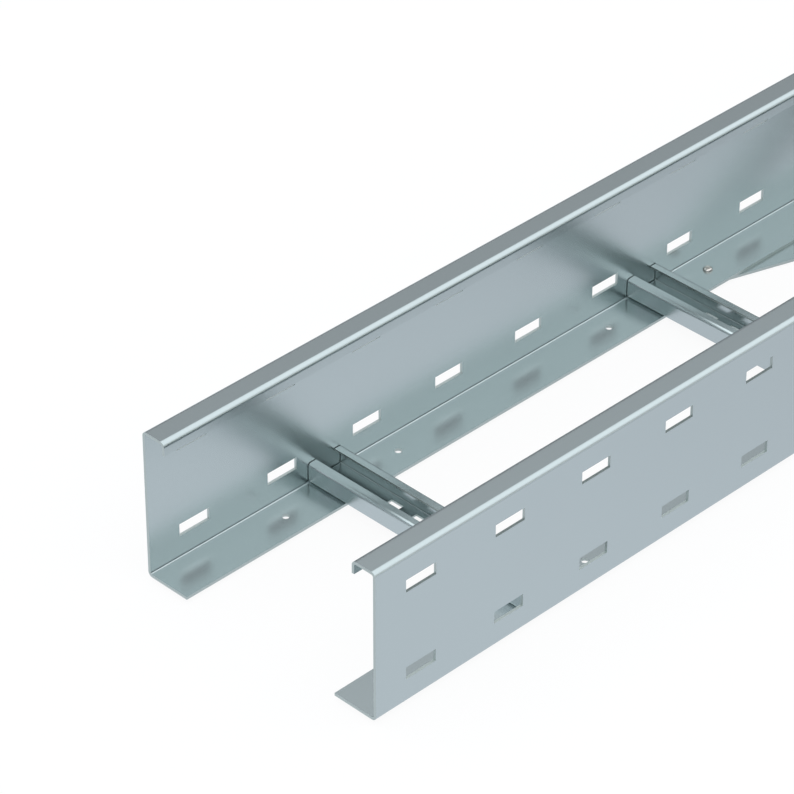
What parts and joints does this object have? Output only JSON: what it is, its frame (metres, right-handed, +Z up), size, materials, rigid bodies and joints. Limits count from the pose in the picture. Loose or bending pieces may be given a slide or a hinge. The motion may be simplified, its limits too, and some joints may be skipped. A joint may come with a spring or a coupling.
{
  "type": "cable ladder section",
  "caption": "Straight cable ladder section with slotted channel side rails, open-top rungs and riveted diagonal braces.",
  "frame": {"origin": "below the middle of the ladder, on the level of its lowest rivet heads", "axes": "+X along the ladder, +Y across it towards the left side rail, +Z up"},
  "size_m": [3, 0.2, 0.1132],
  "materials": {
    "galvanised_steel": "smooth strip-galvanised sheet, cool grey with a soft sheen",
    "rivet_steel": "plain zinc-plated steel, slightly warmer than the sheet"
  },
  "bodies": {
    "root": {"side_rail_left": "galvanised_steel", "side_rail_right": "galvanised_steel", "rung_01": "galvanised_steel", "rung_02": "galvanised_steel", "rung_03": "galvanised_steel", "rung_04": "galvanised_steel", "rung_05": "galvanised_steel", "rung_06": "galvanised_steel", "rung_07": "galvanised_steel", "rung_08": "galvanised_steel", "rung_09": "galvanised_steel", "rung_10": "galvanised_steel", "diagonal_brace_1": "galvanised_steel", "diagonal_brace_2": "galvanised_steel", "rivet_1": "rivet_steel", "rivet_2": "rivet_steel", "rivet_3": "rivet_steel", "rivet_4": "rivet_steel"}
  },
  "joints": []
}
